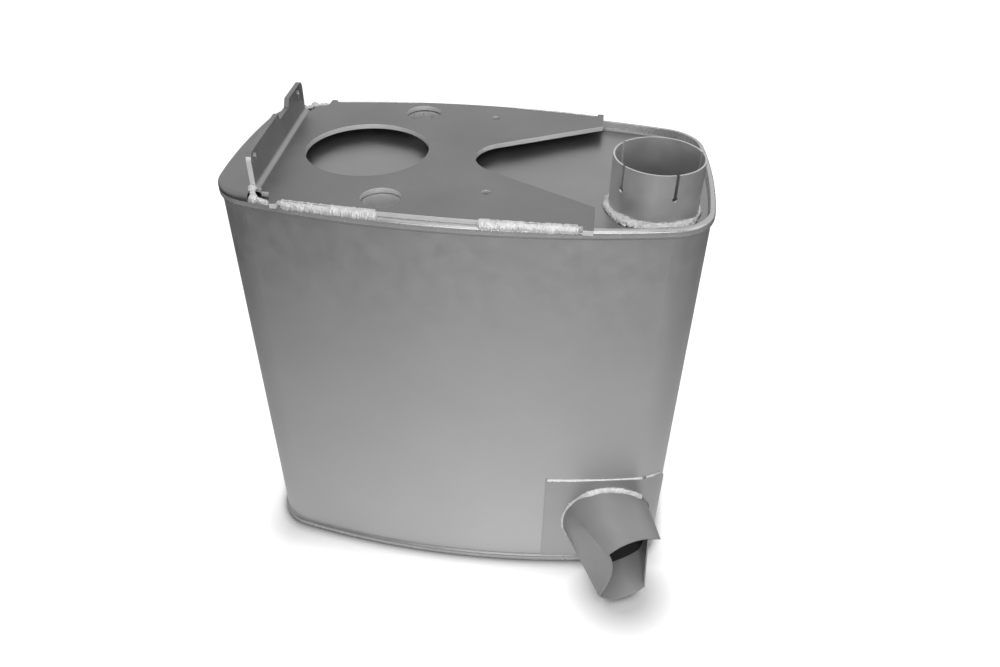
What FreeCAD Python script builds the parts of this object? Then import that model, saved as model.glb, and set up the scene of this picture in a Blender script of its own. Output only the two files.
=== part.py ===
import math
import os

import FreeCAD, Part

os.makedirs("parts", exist_ok=True)

V = FreeCAD.Vector
UP = V(0, 0, 1)
ORIGIN = V(0, 0, 0)

# Body outline seen from above: bulged long sides, bulged ends, rounded corners.
BODY_HEIGHT = 554.0
HALF_LENGTH = 289.0
HALF_DEPTH = 162.0
LONG_SIDE_BULGE = 37.3
END_BULGE = 16.0
CORNER_RADIUS = 58.0

# Sheet metal and the rolled beads that close the ends.
SHEET = 1.5
BEAD_LIP = 3.0
BEAD_HEIGHT = 13.0
BEAD_EDGE_RADIUS = 4.5
BEAD_INNER_WALL = 2.0
SEAM_GAP = 0.05
SEAM_TUCK = 2.0
CAP_RECESS = 12.0
CAP_CORNER_RADIUS = 4.0
WRAP_OUT = BEAD_LIP
WRAP_IN = WRAP_OUT + SHEET
RECESS_INSET = WRAP_IN + SEAM_GAP + BEAD_INNER_WALL
CAP_TOP = BODY_HEIGHT - CAP_RECESS

# Places on the body: stations run from its left or right end, insets from its front or rear side.
def from_left(station):
    return station - HALF_LENGTH


def from_right(station):
    return HALF_LENGTH - station


def from_front(inset):
    return inset - HALF_DEPTH


def from_rear(inset):
    return HALF_DEPTH - inset


# The inlet's centre, from the right end and the front side.
INLET_STATION = 72.0
INLET_INSET = 96.4
INLET = V(from_right(INLET_STATION), from_front(INLET_INSET), 0)

# Mounting plate of thick steel lying on the top bead.
PLATE = 6.0
PLATE_TOP = BODY_HEIGHT + PLATE
TAB_WIDTH = 7.5
TAB_FRONT_REACH = 8.0
TAB_REAR_REACH = 6.0
PRONG_FRONT_X = INLET.x - 65.5
PRONG_REAR_X = INLET.x - 61.5
PRONG_TAB_FRONT = 11.5
PRONG_TAB_REAR = 8.0
TAB_FRONT_X = from_left(88.5)
RELIEF_FRONT_X = [from_left(70.5), from_left(79.5)]
RELIEF_REAR_X = [from_left(60.0), from_left(71.5)]
RELIEF_FRONT_Y = from_front(33.5)
RELIEF_REAR_Y = from_rear(36.0)
FRONT_EDGE_INSETS = [16.0, 5.7, 6.8]
REAR_EDGE_INSETS = [19.7, 1.8, 15.2]
BIG_HOLE = V(from_left(159.0), 0, 0)
BIG_HOLE_RADIUS = 75.0
NOTCH_LENGTH = 257.0
NOTCH_TIP_X = INLET.x - NOTCH_LENGTH
NOTCH_HALF_ANGLE = 30.0
NOTCH_END_RADIUS = 44.0
BOSS_STATION = 205.0
BOSS_INSET = 39.5
BOSS_HOLES = [
    V(from_left(BOSS_STATION), from_front(BOSS_INSET), 0),
    V(from_left(BOSS_STATION), from_rear(BOSS_INSET), 0),
]
BOSS_HOLE_RADIUS = 23.0
SMALL_HOLES = [V(INLET.x - 187.5, from_front(68.7), 0), V(INLET.x - 203.5, from_rear(42.6), 0)]
SMALL_HOLE_RADIUS = 5.5

# Upright flange bent from the plate, standing slightly askew.
FLANGE_START = V(from_left(62.4), from_front(40.5), 0)
FLANGE_SKEW = 4.0
FLANGE_LENGTH = from_rear(56.0) - FLANGE_START.y
FLANGE_RISE = 41.0
FLANGE_BEND = 6.5
FLANGE_GAP_FLOOR = [118.0, 157.0]
FLANGE_GAP_TOP = [114.0, 164.0]
FLANGE_GAP_DEPTH = 9.0
FLANGE_HOLES_AT = [13.0, FLANGE_LENGTH - 24.0]
FLANGE_HOLE_DROP = 9.0
FLANGE_HOLE_RADIUS = 5.5
FLANGE_CORNER = 9.0

# Pressed cover that fills the left end up to the flange.
COVER_RISE = 4.5
COVER_SHEET = 1.5
COVER_LAP = 3.2
COVER_LAP_WIDTH = 2.6
COVER_SKIRT = 5.0
COVER_SHOULDER = 6.0
COVER_GAP = 0.3

# Inlet pipe with clamp slots, set upright through the top cap.
INLET_RADIUS = 50.8
INLET_WALL = 2.0
INLET_RISE = 50.6
INLET_TUCK = 40.0
SLOT_ANGLES = [-141.0, -69.5, 17.0, 142.0]
SLOT_WIDTH = 3.8
SLOT_LENGTH = 28.0
SLOT_END_RADIUS = 3.0
FIT_GAP = 0.05
LEVEL_TOLERANCE = 1e-4

# Sleeves hanging under the two large side holes of the plate.
SLEEVE_RADIUS = 25.0
SLEEVE_WALL = 2.0
SLEEVE_TOP_GAP = 1.5
SLEEVE_DEPTH = 58.0

# Outlet patch on the lower front right corner.
PATCH_SHEET = 2.0
PATCH_LEFT = from_right(168.8)
PATCH_END_Y = from_front(69.0)
PATCH_TOP = 169.0
PATCH_CORNER = 44.0
PATCH_FOOT_GAP = 0.4
PATCH_BOTTOM = BEAD_HEIGHT + PATCH_FOOT_GAP
PATCH_OUT = WRAP_OUT - PATCH_SHEET
PATCH_WELD_HEIGHT = 3.0
PATCH_WELD_FOOT = 152.0
PATCH_WELD_PROUD = 0.6

# Tail pipe: round at the root, pinched on both sides towards its upright end face.
TAIL_ROOT_BEARING = -106.6
TAIL_ROOT_STAND_OFF = 5.1
TAIL_ROOT_HEIGHT = 87.7
TAIL_RADIUS = 61.7
TAIL_WALL = 2.0
TAIL_TURN = 23.4
TAIL_DROP = 15.8
TAIL_TUCK = 50.0
TAIL_END_AT = 75.8
TAIL_END_TURN = 26.0
TAIL_ROOT_CREASES = [58.0, 122.0, 238.0, 290.0, 302.0]


def tail_point(across, up):
    """Point of the end section, given in shares of the pipe's radius."""
    return V(across * TAIL_RADIUS, up * TAIL_RADIUS, 0)


# End section: its corners, the middles of the arcs between them, and which of them are dented.
TAIL_END_CORNERS = [
    tail_point(-0.535, 0.765),
    tail_point(-0.612, -0.629),
    tail_point(0.559, -0.818),
    tail_point(0.430, 0.867),
    tail_point(0.729, 0.778),
]
TAIL_END_MIDDLES = [
    tail_point(-0.386, 0.110),
    tail_point(-0.016, -1.004),
    tail_point(0.486, 0.065),
    tail_point(0.583, 0.834),
    tail_point(0.130, 0.994),
]
TAIL_END_DENTED = [True, False, True, True, False]

# Weld beads.
PLATE_WELD_RADIUS = 5.6
PLATE_WELD_RISE = 1.3
PLATE_WELD_OUT = 0.4
LEFT_WELD_MARGIN = 6.0
LEFT_WELD_LENGTH = 102.0
RIGHT_WELD_MARGIN = 7.0
RIGHT_WELD_LENGTH = 100.5
RING_WELD = 6.5
RING_WELD_BULGE = 0.62
TAIL_WELD = 5.0
TAIL_WELD_PROUD = 4.0
LUMP_RADIUS = 5.5
RUN_RADIUS = 3.4
FOOT_WELD_OUT = 3.0
LUMP_RISE = 2.5
RUN_RISE = 1.5
FRONT_LUMP = V(0.1, -19.0, LUMP_RISE)
FRONT_RUN_END = V(21.6, -25.0, RUN_RISE)
REAR_LUMP = V(6.0, 23.6, LUMP_RISE)
REAR_RUN_END = V(21.5, 32.1, RUN_RISE)
SEAM_WELD_WIDTH = 5.0
SEAM_WELD_PROUD = 1.2

# Inner parts.
BLANKET = 8.0
BLANKET_OUT = WRAP_IN + SEAM_GAP
BLANKET_IN = BLANKET_OUT + BLANKET
LINER_OUT = BLANKET_IN + SEAM_GAP
LINER = 1.0
LINER_IN = LINER_OUT + LINER
BAFFLE = 1.5
UPPER_BAFFLE_Z = BODY_HEIGHT - 92.0
LOWER_BAFFLE_Z = 200.0
BAFFLE_HOLE_RADIUS = 34.0
BAFFLE_HOLE_SPACING = 120.0
BAFFLE_HOLE_OFFSET = 40.0
BAFFLE_HOLES = [
    V(from_left(BAFFLE_HOLE_SPACING), 0, 0),
    V(from_left(2 * BAFFLE_HOLE_SPACING), 0, 0),
    V(from_left(3 * BAFFLE_HOLE_SPACING), BAFFLE_HOLE_OFFSET, 0),
]
CORE_RADIUS = INLET_RADIUS + FIT_GAP + INLET_WALL
CORE_BOTTOM = LOWER_BAFFLE_Z - 14.0
CORE_PORT_RADIUS = 9.0
CORE_PORT_ROWS = 4
CORE_PORT_PITCH = (UPPER_BAFFLE_Z - LOWER_BAFFLE_Z) / (CORE_PORT_ROWS + 1)
CORE_PORT_PAIRS = 3


def outline_circles():
    """Radii and centres of the long side, the end and the corner, first quarter."""
    long_radius = (HALF_LENGTH ** 2 + LONG_SIDE_BULGE ** 2) / (2 * LONG_SIDE_BULGE)
    end_radius = (HALF_DEPTH ** 2 + END_BULGE ** 2) / (2 * END_BULGE)
    long_centre = V(0, HALF_DEPTH - long_radius, 0)
    end_centre = V(HALF_LENGTH - end_radius, 0, 0)
    from_long = long_radius - CORNER_RADIUS
    from_end = end_radius - CORNER_RADIUS
    span = end_centre - long_centre
    reach = span.Length
    along = (from_long ** 2 - from_end ** 2 + reach ** 2) / (2 * reach)
    off = math.sqrt(from_long ** 2 - along ** 2)
    unit = V(span).normalize()
    corner = long_centre + unit * along + V(-unit.y, unit.x, 0) * off
    if corner.x < 0 or corner.y < 0:
        corner = long_centre + unit * along - V(-unit.y, unit.x, 0) * off
    return long_radius, long_centre, end_radius, end_centre, corner


def outline_wire(inset, z):
    """Closed outline, moved inwards by inset."""
    long_radius, long_centre, end_radius, end_centre, corner = outline_circles()
    to_long = (corner - long_centre).normalize()
    to_end = (corner - end_centre).normalize()
    to_corner = (to_long + to_end).normalize()
    corner_radius = CORNER_RADIUS - inset
    p_end = corner + to_end * corner_radius
    p_mid = corner + to_corner * corner_radius
    p_long = corner + to_long * corner_radius
    top = V(0, long_centre.y + long_radius - inset, 0)
    right = V(end_centre.x + end_radius - inset, 0, 0)

    def place(p, sx, sy):
        return V(p.x * sx, p.y * sy, z)

    def arc(a, b, c):
        return Part.Arc(a, b, c).toShape()

    edges = []
    edges.append(arc(place(p_end, 1, -1), place(right, 1, 1), place(p_end, 1, 1)))
    edges.append(arc(place(p_end, 1, 1), place(p_mid, 1, 1), place(p_long, 1, 1)))
    edges.append(arc(place(p_long, 1, 1), place(top, 1, 1), place(p_long, -1, 1)))
    edges.append(arc(place(p_long, -1, 1), place(p_mid, -1, 1), place(p_end, -1, 1)))
    edges.append(arc(place(p_end, -1, 1), place(right, -1, 1), place(p_end, -1, -1)))
    edges.append(arc(place(p_end, -1, -1), place(p_mid, -1, -1), place(p_long, -1, -1)))
    edges.append(arc(place(p_long, -1, -1), place(top, 1, -1), place(p_long, 1, -1)))
    edges.append(arc(place(p_long, 1, -1), place(p_mid, 1, -1), place(p_end, 1, -1)))
    return Part.Wire(edges)


def outline_prism(inset, low, high):
    return Part.Face(outline_wire(inset, low)).extrude(V(0, 0, high - low))


def outline_ring(out_inset, in_inset, low, high):
    return outline_prism(out_inset, low, high).cut(outline_prism(in_inset, low, high))


def upright(radius, centre, low, high):
    return Part.makeCylinder(radius, high - low, V(centre.x, centre.y, low), UP)


def tube(radius, wall, centre, low, high):
    return upright(radius, centre, low, high).cut(upright(radius - wall, centre, low, high))


def level_edges(shape, z):
    """Edges that lie wholly at one height."""
    found = []
    for edge in shape.Edges:
        box = edge.BoundBox
        if abs(box.ZMin - z) < LEVEL_TOLERANCE and abs(box.ZMax - z) < LEVEL_TOLERANCE:
            found.append(edge)
    return found


def tail_axis():
    turn = math.radians(TAIL_TURN)
    drop = math.radians(TAIL_DROP)
    flat = math.cos(drop)
    return V(flat * math.sin(turn), -flat * math.cos(turn), -math.sin(drop))


def tail_root():
    """Centre of the tail pipe where it leaves the round corner at the front right."""
    corner = outline_circles()[-1]
    bearing = math.radians(TAIL_ROOT_BEARING)
    reach = CORNER_RADIUS + TAIL_ROOT_STAND_OFF
    return V(corner.x + reach * math.cos(bearing), -corner.y + reach * math.sin(bearing), TAIL_ROOT_HEIGHT)


def tail_bore(radius, start, end):
    """Round bar along the tail pipe's axis, distances measured from its root."""
    axis = tail_axis()
    return Part.makeCylinder(radius, end - start, tail_root() + axis * start, axis)


def rolled_cap(z_outer, way):
    """End cap with a recessed panel and an edge rolled over the wrap; way is +1 for the top."""
    def span(a, b):
        low = z_outer - way * max(a, b)
        high = z_outer - way * min(a, b)
        return min(low, high), max(low, high)

    low, high = span(0, BEAD_HEIGHT)
    bead = outline_prism(0, low, high)
    edges = level_edges(bead, z_outer) + level_edges(bead, z_outer - way * BEAD_HEIGHT)
    bead = bead.makeFillet(BEAD_EDGE_RADIUS, edges)
    low, high = span(0, CAP_RECESS + SHEET)
    core = outline_prism(RECESS_INSET - BEAD_INNER_WALL, low, high)
    low, high = span(-SEAM_GAP, CAP_RECESS)
    recess = outline_prism(RECESS_INSET, low, high)
    recess = recess.makeFillet(CAP_CORNER_RADIUS, level_edges(recess, z_outer - way * CAP_RECESS))
    low, high = span(SEAM_TUCK - SEAM_GAP, BEAD_HEIGHT + CAP_RECESS)
    slot = outline_ring(WRAP_OUT - SEAM_GAP, WRAP_IN + SEAM_GAP, low, high)
    return bead.fuse(core).cut(recess).cut(slot).removeSplitter()


def wrap():
    sheet = outline_ring(WRAP_OUT, WRAP_IN, SEAM_TUCK, BODY_HEIGHT - SEAM_TUCK)
    return sheet.cut(tail_bore(TAIL_RADIUS + FIT_GAP, -TAIL_TUCK, TAIL_TUCK))


def seam_weld():
    """Lengthwise weld that closes the wrap at the middle of the back."""
    low = BEAD_HEIGHT + SEAM_GAP
    high = BODY_HEIGHT - BEAD_HEIGHT - SEAM_GAP
    band = outline_ring(WRAP_OUT - SEAM_WELD_PROUD, WRAP_OUT, low, high)
    box = Part.makeBox(SEAM_WELD_WIDTH, HALF_DEPTH, high, V(-SEAM_WELD_WIDTH / 2, 0, 0))
    return band.common(box)


def top_cap():
    cap = rolled_cap(BODY_HEIGHT, 1)
    cap = cap.cut(upright(INLET_RADIUS + FIT_GAP, INLET, 0, BODY_HEIGHT))
    for hole in BOSS_HOLES:
        cap = cap.cut(upright(SLEEVE_RADIUS + FIT_GAP, hole, 0, BODY_HEIGHT))
    return cap


def flange_directions():
    skew = math.radians(FLANGE_SKEW)
    along = V(-math.sin(skew), math.cos(skew), 0)
    inward = V(math.cos(skew), math.sin(skew), 0)
    return along, inward


def notch_corners():
    """Tangent points of the round end of the V notch and its leftmost point."""
    half = math.radians(NOTCH_HALF_ANGLE)
    centre_x = NOTCH_TIP_X + NOTCH_END_RADIUS / math.sin(half)
    touch_x = centre_x - NOTCH_END_RADIUS * math.sin(half)
    touch_y = NOTCH_END_RADIUS * math.cos(half)
    return touch_x, touch_y, centre_x - NOTCH_END_RADIUS


def plate_edge(left, right, insets, place):
    """Three points of a bowed long edge of the plate, from left to right."""
    stations = [left, (left + right) / 2, right]
    return [V(x, place(inset), 0) for x, inset in zip(stations, insets)]


def front_edge():
    left = TAB_FRONT_X + TAB_WIDTH
    return plate_edge(left, PRONG_FRONT_X - PRONG_TAB_FRONT, FRONT_EDGE_INSETS, from_front)


def rear_edge():
    left = RELIEF_REAR_X[1] + TAB_WIDTH
    return plate_edge(left, PRONG_REAR_X - PRONG_TAB_REAR, REAR_EDGE_INSETS, from_rear)


def flat_plate():
    """Flat part of the mounting plate with tabs, relief cuts, holes and V notch."""
    along, inward = flange_directions()
    bend_front = FLANGE_START + inward * FLANGE_BEND
    bend_rear = bend_front + along * FLANGE_LENGTH
    touch_x, touch_y, notch_left = notch_corners()
    slope = math.tan(math.radians(NOTCH_HALF_ANGLE))
    front_tip_y = -slope * (PRONG_FRONT_X - NOTCH_TIP_X)
    rear_tip_y = slope * (PRONG_REAR_X - NOTCH_TIP_X)
    front_left, front_mid, front_right = front_edge()
    rear_left, rear_mid, rear_right = rear_edge()
    tab_front_left = front_left.y - TAB_FRONT_REACH
    tab_front_right = front_right.y - TAB_FRONT_REACH
    tab_rear_right = rear_right.y + TAB_REAR_REACH
    tab_rear_left = rear_left.y + TAB_REAR_REACH

    def line(*points):
        return [Part.makeLine(points[i], points[i + 1]) for i in range(len(points) - 1)]

    edges = line(
        bend_rear,
        bend_front,
        V(RELIEF_FRONT_X[0], RELIEF_FRONT_Y, 0),
        V(RELIEF_FRONT_X[1], RELIEF_FRONT_Y, 0),
        V(TAB_FRONT_X, tab_front_left, 0),
        V(front_left.x, tab_front_left, 0),
        front_left,
    )
    edges.append(Part.Arc(front_left, front_mid, front_right).toShape())
    edges += line(
        front_right,
        V(front_right.x, tab_front_right, 0),
        V(PRONG_FRONT_X, tab_front_right, 0),
        V(PRONG_FRONT_X, front_tip_y, 0),
        V(touch_x, -touch_y, 0),
    )
    notch_end = Part.Arc(V(touch_x, -touch_y, 0), V(notch_left, 0, 0), V(touch_x, touch_y, 0))
    edges.append(notch_end.toShape())
    edges += line(
        V(touch_x, touch_y, 0),
        V(PRONG_REAR_X, rear_tip_y, 0),
        V(PRONG_REAR_X, tab_rear_right, 0),
        V(rear_right.x, tab_rear_right, 0),
        rear_right,
    )
    edges.append(Part.Arc(rear_right, rear_mid, rear_left).toShape())
    edges += line(
        rear_left,
        V(rear_left.x, tab_rear_left, 0),
        V(RELIEF_REAR_X[1], tab_rear_left, 0),
        V(RELIEF_REAR_X[1], RELIEF_REAR_Y, 0),
        V(RELIEF_REAR_X[0], RELIEF_REAR_Y, 0),
        bend_rear,
    )
    plate = Part.Face(Part.Wire(edges)).extrude(V(0, 0, PLATE))
    plate.translate(V(0, 0, BODY_HEIGHT))
    plate = plate.cut(upright(BIG_HOLE_RADIUS, BIG_HOLE, BODY_HEIGHT, PLATE_TOP))
    for hole in BOSS_HOLES:
        plate = plate.cut(upright(BOSS_HOLE_RADIUS, hole, BODY_HEIGHT, PLATE_TOP))
    for hole in SMALL_HOLES:
        plate = plate.cut(upright(SMALL_HOLE_RADIUS, hole, BODY_HEIGHT, PLATE_TOP))
    return plate


def flange():
    """Quarter bend and upright leg with two ears, a gap between them and two holes."""
    along, inward = flange_directions()
    turn = FLANGE_BEND + PLATE

    def at(inwards, height):
        point = FLANGE_START + inward * inwards
        return V(point.x, point.y, BODY_HEIGHT + height)

    half = math.sqrt(0.5)
    bend_centre = turn
    low_out = at(FLANGE_BEND, 0)
    low_in = at(FLANGE_BEND, PLATE)
    side_in = at(0, bend_centre)
    side_out = at(-PLATE, bend_centre)
    mid_out = at(FLANGE_BEND - turn * half, bend_centre - turn * half)
    mid_in = at(FLANGE_BEND - FLANGE_BEND * half, bend_centre - FLANGE_BEND * half)
    top_height = PLATE + FLANGE_RISE
    edges = [
        Part.Arc(low_out, mid_out, side_out).toShape(),
        Part.makeLine(side_out, at(-PLATE, top_height)),
        Part.makeLine(at(-PLATE, top_height), at(0, top_height)),
        Part.makeLine(at(0, top_height), side_in),
        Part.Arc(side_in, mid_in, low_in).toShape(),
        Part.makeLine(low_in, low_out),
    ]
    leg = Part.Face(Part.Wire(edges)).extrude(along * FLANGE_LENGTH)
    corners = []
    for edge in leg.Edges:
        box = edge.BoundBox
        at_top = abs(box.ZMin - BODY_HEIGHT - top_height) < LEVEL_TOLERANCE
        if at_top and abs(edge.Length - PLATE) < LEVEL_TOLERANCE:
            corners.append(edge)
    leg = leg.makeFillet(FLANGE_CORNER, corners)

    def on_leg(distance, height, inwards):
        point = FLANGE_START + along * distance + inward * inwards
        return V(point.x, point.y, BODY_HEIGHT + height)

    floor = top_height - FLANGE_GAP_DEPTH
    beyond = top_height + FLANGE_GAP_DEPTH
    gap = Part.makePolygon([
        on_leg(FLANGE_GAP_TOP[0], top_height, -turn),
        on_leg(FLANGE_GAP_FLOOR[0], floor, -turn),
        on_leg(FLANGE_GAP_FLOOR[1], floor, -turn),
        on_leg(FLANGE_GAP_TOP[1], top_height, -turn),
        on_leg(FLANGE_GAP_TOP[1], beyond, -turn),
        on_leg(FLANGE_GAP_TOP[0], beyond, -turn),
        on_leg(FLANGE_GAP_TOP[0], top_height, -turn),
    ])
    leg = leg.cut(Part.Face(gap).extrude(inward * (2 * turn)))
    for distance in FLANGE_HOLES_AT:
        start = on_leg(distance, top_height - FLANGE_HOLE_DROP, -turn)
        leg = leg.cut(Part.makeCylinder(FLANGE_HOLE_RADIUS, 2 * turn, start, inward))
    return leg


def mounting_plate():
    return flat_plate().fuse(flange()).removeSplitter()


def left_cover(cap):
    """Pressed cover over the left end of the top, lapped over the cap's bead and open towards the flange."""
    along, inward = flange_directions()
    top = BODY_HEIGHT + COVER_RISE
    foot = BODY_HEIGHT - COVER_LAP
    pan = outline_prism(0, foot, top)
    pan = pan.makeFillet(COVER_SHOULDER, level_edges(pan, top))
    hollow = outline_prism(COVER_SKIRT, BODY_HEIGHT, top - COVER_SHEET)
    inside_lap = outline_prism(COVER_LAP_WIDTH, foot, BODY_HEIGHT)
    pan = pan.cut(hollow).cut(inside_lap).cut(cap)
    edge = FLANGE_START - inward * (PLATE + COVER_GAP)
    low = edge - along * HALF_LENGTH
    high = edge + along * (2 * HALF_LENGTH)
    keep = Part.makePolygon([low, high, high - inward * HALF_LENGTH, low - inward * HALF_LENGTH, low])
    keep = Part.Face(keep).extrude(V(0, 0, 2 * BODY_HEIGHT))
    return pan.common(keep)


def arc_centre(points):
    return Part.Arc(*points).toShape().Curve.Center


def plate_weld(points, start_x, end_x):
    """Round bead along one edge of the plate, lying in the corner on the top bead."""
    centre = arc_centre(points)
    radius = (points[0] - centre).Length + PLATE_WELD_OUT
    side = 1 if points[1].y > 0 else -1

    def on_edge(x):
        return V(x, centre.y + side * math.sqrt(radius ** 2 - (x - centre.x) ** 2), 0)

    first = on_edge(start_x)
    last = on_edge(end_x)
    outward = (first - centre).normalize()
    spin = math.degrees(outward.getAngle((last - centre).normalize()))
    turn = 1 if outward.cross((last - centre)).z > 0 else -1
    lift = V(0, 0, BODY_HEIGHT + PLATE_WELD_RISE)
    heading = UP.cross(outward)
    ring = Part.makeCircle(PLATE_WELD_RADIUS, first + lift, heading)
    bead = Part.Face(Part.Wire(ring)).revolve(centre + lift, UP, turn * spin)
    for end, way in ((first, -turn), (last, turn)):
        ahead = UP.cross(end - centre).normalize() * way
        bead = bead.fuse(Part.makeSphere(PLATE_WELD_RADIUS, end + lift, ahead, 0, 90))
    return bead


def clear_of(weld, others):
    """The largest piece of a weld that is left above the body and outside the parts that it joins."""
    below = Part.makeBox(2 * HALF_LENGTH, 2 * HALF_DEPTH, BODY_HEIGHT, V(-HALF_LENGTH, -HALF_DEPTH, 0))
    return max(weld.cut(below).cut(others).Solids, key=lambda solid: solid.Volume)


def foot_weld(distance, lump_offset, run_offset, others):
    """Two weld lumps at one foot of the flange, a given distance along it, with a run along the bead."""
    along, inward = flange_directions()
    end = FLANGE_START + along * distance
    out = along * math.copysign(FOOT_WELD_OUT, distance - FLANGE_LENGTH / 2)
    foot = end + out - inward * (PLATE / 2) + V(0, 0, PLATE_TOP)
    rim = end + lump_offset + V(0, 0, BODY_HEIGHT)
    run_end = end + run_offset + V(0, 0, BODY_HEIGHT)
    weld = Part.makeSphere(LUMP_RADIUS, foot).fuse(Part.makeSphere(LUMP_RADIUS, rim))
    link = foot - rim
    weld = weld.fuse(Part.makeCylinder(RUN_RADIUS, link.Length, rim, link))
    run = run_end - rim
    weld = weld.fuse(Part.makeCylinder(RUN_RADIUS, run.Length, rim, run))
    weld = weld.fuse(Part.makeSphere(RUN_RADIUS, run_end))
    return clear_of(weld, others)


def inlet_pipe():
    top = BODY_HEIGHT + INLET_RISE
    pipe = tube(INLET_RADIUS, INLET_WALL, INLET, CAP_TOP - INLET_TUCK, top)
    reach = 2 * INLET_WALL + SLOT_WIDTH
    for angle in SLOT_ANGLES:
        slot = Part.makeBox(reach, SLOT_WIDTH, SLOT_LENGTH, V(-reach / 2, -SLOT_WIDTH / 2, 0))
        eye = Part.makeCylinder(SLOT_END_RADIUS, reach, V(-reach / 2, 0, 0), V(1, 0, 0))
        tool = slot.fuse(eye)
        tool.translate(V(INLET_RADIUS - INLET_WALL / 2, 0, 0))
        tool.rotate(ORIGIN, UP, angle)
        tool.translate(V(INLET.x, INLET.y, top - SLOT_LENGTH))
        pipe = pipe.cut(tool)
    return pipe


def inlet_weld():
    """Fillet bead round the foot of the inlet pipe."""
    inner = INLET.x + INLET_RADIUS + FIT_GAP
    corner = V(inner, INLET.y, CAP_TOP)
    out = V(inner + RING_WELD, INLET.y, CAP_TOP)
    high = V(inner, INLET.y, CAP_TOP + RING_WELD)
    bulge = RING_WELD * RING_WELD_BULGE
    crown = V(inner + bulge, INLET.y, CAP_TOP + bulge)
    profile = Part.Wire([
        Part.makeLine(corner, out),
        Part.Arc(out, crown, high).toShape(),
        Part.makeLine(high, corner),
    ])
    return Part.Face(profile).revolve(V(INLET.x, INLET.y, 0), UP, 360)


def sleeve(hole):
    top = BODY_HEIGHT - SLEEVE_TOP_GAP
    low = top - SLEEVE_DEPTH
    cup = upright(SLEEVE_RADIUS, hole, low, top)
    return cup.cut(upright(SLEEVE_RADIUS - SLEEVE_WALL, hole, low + SLEEVE_WALL, top))


def patch_region(grow):
    """Block over the front right corner with a rounded upper rear corner, grown upwards and backwards."""
    front = -HALF_DEPTH - CORNER_RADIUS
    top = PATCH_TOP + grow
    end = PATCH_END_Y + grow
    block = Part.makeBox(HALF_LENGTH, end - front, top - PATCH_BOTTOM, V(PATCH_LEFT, front, PATCH_BOTTOM))
    corner = [edge for edge in level_edges(block, top) if abs(edge.CenterOfMass.y - end) < LEVEL_TOLERANCE]
    return block.makeFillet(PATCH_CORNER + grow, corner)


def outlet_patch():
    patch = outline_ring(PATCH_OUT, WRAP_OUT, PATCH_BOTTOM, PATCH_TOP).common(patch_region(0))
    return patch.cut(tail_bore(TAIL_RADIUS + FIT_GAP, -TAIL_TUCK, TAIL_TUCK))


def patch_weld():
    """Narrow bead along the upper edge of the patch and down its rounded corner."""
    weld_top = PATCH_TOP + PATCH_WELD_HEIGHT
    band = outline_ring(PATCH_OUT - PATCH_WELD_PROUD, WRAP_OUT, PATCH_WELD_FOOT, weld_top)
    return band.common(patch_region(PATCH_WELD_HEIGHT)).cut(patch_region(0))


def root_wire(radius):
    """Round section at the root, split at the crease lines."""
    axis = tail_axis()
    left = axis.cross(UP).normalize()
    up = left.cross(axis)
    centre = tail_root()

    def at(angle):
        turn = math.radians(angle)
        return centre + up * (radius * math.cos(turn)) + left * (radius * math.sin(turn))

    marks = TAIL_ROOT_CREASES + [TAIL_ROOT_CREASES[0] + 360.0]
    edges = []
    for start, end in zip(marks, marks[1:]):
        edges.append(Part.Arc(at(start), at((start + end) / 2), at(end)).toShape())
    return Part.Wire(edges)


def meeting(first, second, near):
    """Crossing of two circles nearest to a given point."""
    c1, r1 = first
    c2, r2 = second
    span = c2 - c1
    reach = span.Length
    along = (r1 ** 2 - r2 ** 2 + reach ** 2) / (2 * reach)
    off = math.sqrt(max(r1 ** 2 - along ** 2, 0))
    unit = V(span).normalize()
    side = V(-unit.y, unit.x, 0)
    choices = [c1 + unit * along + side * off, c1 + unit * along - side * off]
    return min(choices, key=lambda p: (p - near).Length)


def end_wire(wall):
    """Pinched end section, moved inwards by wall, in the upright end face."""
    turn = math.radians(TAIL_END_TURN)
    across = V(math.cos(turn), math.sin(turn), 0)
    centre = tail_root() + tail_axis() * TAIL_END_AT
    count = len(TAIL_END_CORNERS)
    circles = []
    for i in range(count):
        ends = TAIL_END_CORNERS[i], TAIL_END_CORNERS[(i + 1) % count]
        arc = Part.Arc(ends[0], TAIL_END_MIDDLES[i], ends[1]).toShape().Curve
        circles.append((arc.Center, arc.Radius + (wall if TAIL_END_DENTED[i] else -wall)))
    moved = [meeting(circles[i - 1], circles[i], TAIL_END_CORNERS[i]) for i in range(count)]

    def place(point):
        return centre + across * point.x + UP * point.y

    edges = []
    for i in range(count):
        middle, radius = circles[i]
        ends = moved[i], moved[(i + 1) % count]
        crown = middle + ((ends[0] + ends[1]) / 2 - middle).normalize() * radius
        edges.append(Part.Arc(place(ends[0]), place(crown), place(ends[1])).toShape())
    return Part.Wire(edges)


def tail_solid(wall):
    """Pinched part of the tail pipe as a full body, moved inwards by wall."""
    return Part.makeLoft([root_wire(TAIL_RADIUS - wall), end_wire(wall)], True, True, False)


def tail_pipe():
    outer = tail_solid(0).fuse(tail_bore(TAIL_RADIUS, -TAIL_TUCK, 0))
    inner = tail_solid(TAIL_WALL).fuse(tail_bore(TAIL_RADIUS - TAIL_WALL, -TAIL_TUCK, 0))
    return outer.cut(inner)


def tail_weld():
    """Bead where the tail pipe leaves the patch."""
    band = outline_ring(PATCH_OUT - TAIL_WELD_PROUD, PATCH_OUT, PATCH_BOTTOM, PATCH_TOP)
    around = tail_bore(TAIL_RADIUS + TAIL_WELD, -TAIL_TUCK, TAIL_TUCK)
    return band.common(around).cut(tail_bore(TAIL_RADIUS + FIT_GAP, -TAIL_TUCK, TAIL_TUCK))


def blanket():
    mat = outline_ring(BLANKET_OUT, BLANKET_IN, CAP_RECESS + SHEET, UPPER_BAFFLE_Z)
    return mat.cut(tail_bore(TAIL_RADIUS + FIT_GAP, -TAIL_TUCK, TAIL_TUCK))


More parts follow.
